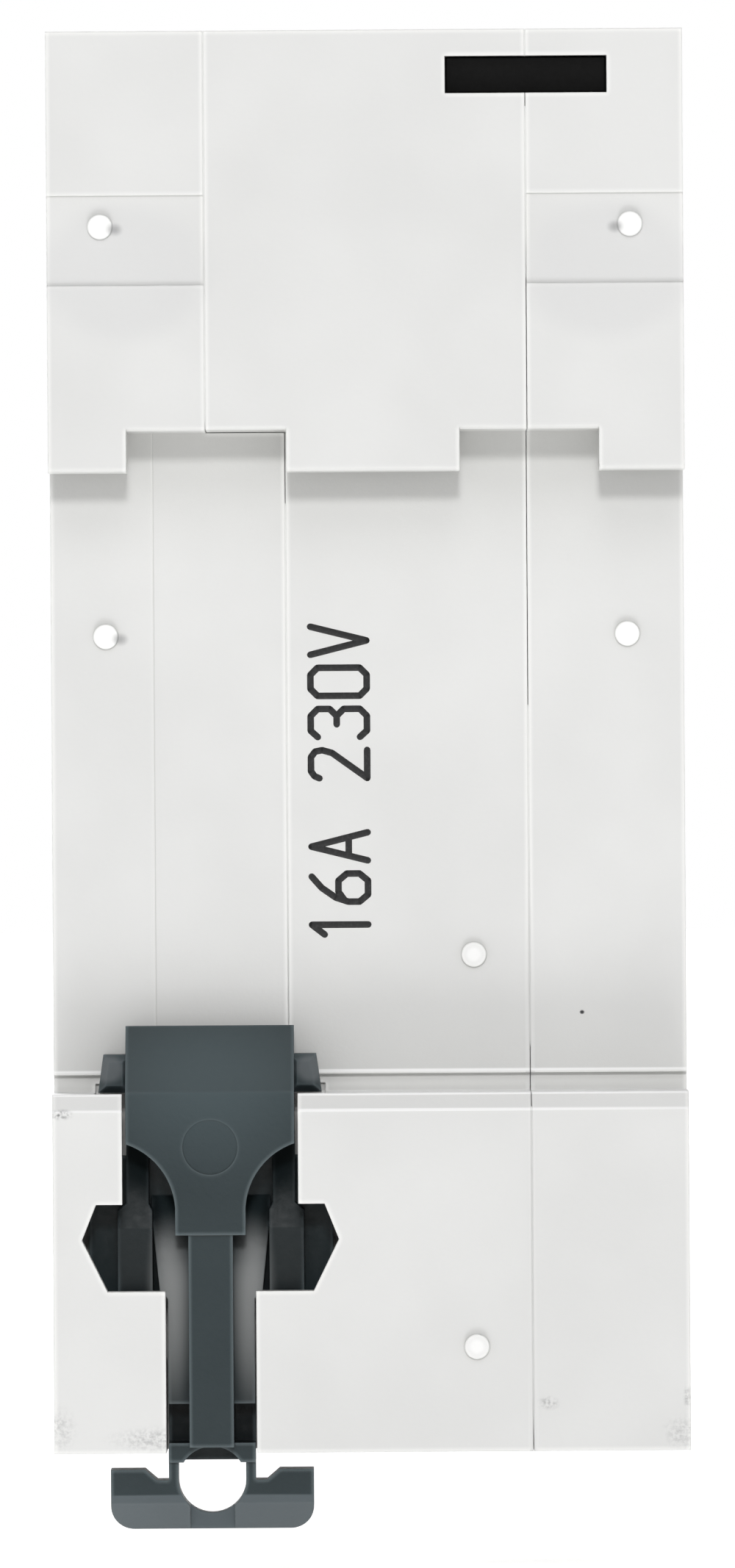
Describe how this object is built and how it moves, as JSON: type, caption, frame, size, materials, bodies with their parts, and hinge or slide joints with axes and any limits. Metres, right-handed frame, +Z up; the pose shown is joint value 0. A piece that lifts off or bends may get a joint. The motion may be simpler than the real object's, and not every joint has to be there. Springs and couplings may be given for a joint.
{
  "type": "residual-current circuit breaker",
  "caption": "Two-module residual-current circuit breaker for a top-hat rail, with toggle, test button, clamp terminals, sliding rail clip and switching mechanism.",
  "frame": {"origin": "middle of the rail seat, in the plane that the rail's flanges bear on, on the middle of the width", "axes": "+Z up as mounted, -Y out of the panel towards the user, +Y to the rail and the wall, +X to the user's right"},
  "size_m": [0.0358, 0.0643, 0.0844],
  "materials": {
    "housing_moulding": "satin moulded",
    "rivet_steel": "nickel plated",
    "clip_moulding": "fine satin moulded",
    "blank_moulding": "matt moulded",
    "toggle_moulding": "satin moulded",
    "button_moulding": "satin moulded",
    "window_plastic": "clear moulded",
    "flag_plastic": "satin moulded",
    "plated_steel": "zinc plated",
    "plated_copper": "bright copper",
    "coil_copper": "enamelled copper",
    "steel_pin": "bright drawn",
    "yoke_steel": "zinc plated",
    "arc_steel": "zinc plated",
    "bimetal": "rolled",
    "fibre": "pressed fibre",
    "mechanism_plastic": "satin moulded",
    "bobbin_plastic": "satin moulded",
    "board_laminate": "solder resist",
    "core_case": "satin moulded",
    "relay_case": "satin moulded",
    "capacitor_can": "sleeved",
    "varistor_coating": "dipped epoxy",
    "chip_moulding": "moulded epoxy",
    "resistor_coating": "lacquered"
  },
  "bodies": {
    "housing": {"arc_chute_cheeks": "fibre", "arc_plates": "arc_steel", "bimetal_strip": "bimetal", "board_capacitor": "capacitor_can", "board_chips": "chip_moulding", "centre_body": "housing_moulding", "circuit_board": "board_laminate", "coil_bobbin": "bobbin_plastic", "contact_pivot_pin": "steel_pin", "flag_window": "window_plastic", "housing_rivets": "rivet_steel", "left_cover": "housing_moulding", "line_in_bar": "plated_copper", "line_out_bar": "plated_copper", "magnet_yoke": "yoke_steel", "neutral_fixed_contact": "plated_copper", "neutral_in_bar": "plated_copper", "neutral_out_bar": "plated_copper", "phase_fixed_contact": "plated_copper", "right_cover": "housing_moulding", "slot_blank": "blank_moulding", "test_contact_blade": "plated_copper", "test_resistor": "resistor_coating", "toggle_pin": "steel_pin", "toroid_core": "core_case", "trip_coil": "coil_copper", "trip_lever_pin": "steel_pin", "trip_relay": "relay_case", "varistor": "varistor_coating"},
    "toggle": {"toggle": "toggle_moulding"},
    "drive_link": {"drive_link": "steel_pin"},
    "contact_carrier": {"contact_carrier": "mechanism_plastic", "phase_contact": "plated_copper", "neutral_contact": "plated_copper"},
    "position_flag": {"position_flag": "flag_plastic"},
    "trip_plunger": {"trip_plunger": "steel_pin"},
    "trip_lever": {"trip_lever": "mechanism_plastic"},
    "relay_plunger": {"relay_plunger": "mechanism_plastic"},
    "test_button": {"test_button": "button_moulding"},
    "din_clip": {"din_clip": "clip_moulding"},
    "line_in_screw": {"line_in_screw": "plated_steel"},
    "line_in_cage": {"line_in_cage": "plated_steel"},
    "neutral_in_screw": {"neutral_in_screw": "plated_steel"},
    "neutral_in_cage": {"neutral_in_cage": "plated_steel"},
    "line_out_screw": {"line_out_screw": "plated_steel"},
    "line_out_cage": {"line_out_cage": "plated_steel"},
    "neutral_out_screw": {"neutral_out_screw": "plated_steel"},
    "neutral_out_cage": {"neutral_out_cage": "plated_steel"}
  },
  "joints": [
    {"name": "toggle_turn", "type": "hinge", "parent": "housing", "child": "toggle", "pos_m": [-0.00905, -0.046, 0], "axis": [-1, 0, 0], "range_deg": [0, 80]},
    {"name": "link_turn", "type": "hinge", "parent": "toggle", "child": "drive_link", "pos_m": [-0.0024, -0.04346, -0.00159], "axis": [1, 0, 0], "range_deg": [0, 80]},
    {"name": "contact_swing", "type": "hinge", "parent": "housing", "child": "contact_carrier", "pos_m": [-0.009, -0.02673, -0.00752], "axis": [1, 0, 0], "range_deg": [0, 22]},
    {"name": "flag_slide", "type": "slide", "parent": "housing", "child": "position_flag", "axis": [0, 0, 1], "range_m": [0, 0.0036]},
    {"name": "plunger_slide", "type": "slide", "parent": "housing", "child": "trip_plunger", "axis": [0, 0, -1], "range_m": [0, 0.0025], "stiffness_N_per_m": 250},
    {"name": "trip_lever_turn", "type": "hinge", "parent": "housing", "child": "trip_lever", "pos_m": [-0.0095, -0.0315, 0.0065], "axis": [-1, 0, 0], "range_deg": [0, 8]},
    {"name": "relay_plunger_slide", "type": "slide", "parent": "housing", "child": "relay_plunger", "axis": [-1, 0, 0], "range_m": [0, 0.002], "stiffness_N_per_m": 250},
    {"name": "test_button_press", "type": "slide", "parent": "housing", "child": "test_button", "axis": [0, 1, 0], "range_m": [0, 0.0018], "stiffness_N_per_m": 500},
    {"name": "clip_slide", "type": "slide", "parent": "housing", "child": "din_clip", "axis": [0, 0, -1], "range_m": [0, 0.003], "stiffness_N_per_m": 1500},
    {"name": "line_in_screw_turn", "type": "hinge", "parent": "housing", "child": "line_in_screw", "pos_m": [-0.00905, -0.0422, 0.0316], "axis": [0, 1, 0], "range_deg": [0, 2160]},
    {"name": "line_in_cage_slide", "type": "slide", "parent": "housing", "child": "line_in_cage", "axis": [0, -1, 0], "range_m": [0, 0.0048]},
    {"name": "neutral_in_screw_turn", "type": "hinge", "parent": "housing", "child": "neutral_in_screw", "pos_m": [0.00905, -0.0422, 0.0316], "axis": [0, 1, 0], "range_deg": [0, 2160]},
    {"name": "neutral_in_cage_slide", "type": "slide", "parent": "housing", "child": "neutral_in_cage", "axis": [0, -1, 0], "range_m": [0, 0.0048]},
    {"name": "line_out_screw_turn", "type": "hinge", "parent": "housing", "child": "line_out_screw", "pos_m": [-0.00905, -0.0422, -0.0316], "axis": [0, 1, 0], "range_deg": [0, 2160]},
    {"name": "line_out_cage_slide", "type": "slide", "parent": "housing", "child": "line_out_cage", "axis": [0, -1, 0], "range_m": [0, 0.0048]},
    {"name": "neutral_out_screw_turn", "type": "hinge", "parent": "housing", "child": "neutral_out_screw", "pos_m": [0.00905, -0.0422, -0.0316], "axis": [0, 1, 0], "range_deg": [0, 2160]},
    {"name": "neutral_out_cage_slide", "type": "slide", "parent": "housing", "child": "neutral_out_cage", "axis": [0, -1, 0], "range_m": [0, 0.0048]}
  ],
  "couplings": [
    {"joint": "link_turn", "follows": "toggle_turn", "ratio": 1},
    {"joint": "contact_swing", "follows": "toggle_turn", "ratio": 0.275},
    {"joint": "flag_slide", "follows": "toggle_turn", "m_per_rad": 0.0025783},
    {"joint": "trip_lever_turn", "follows": "plunger_slide", "rad_per_m": 55.85},
    {"joint": "line_in_screw_turn", "follows": "line_in_cage_slide", "rad_per_m": 7854},
    {"joint": "neutral_in_screw_turn", "follows": "neutral_in_cage_slide", "rad_per_m": 7854},
    {"joint": "line_out_screw_turn", "follows": "line_out_cage_slide", "rad_per_m": 7854},
    {"joint": "neutral_out_screw_turn", "follows": "neutral_out_cage_slide", "rad_per_m": 7854}
  ]
}
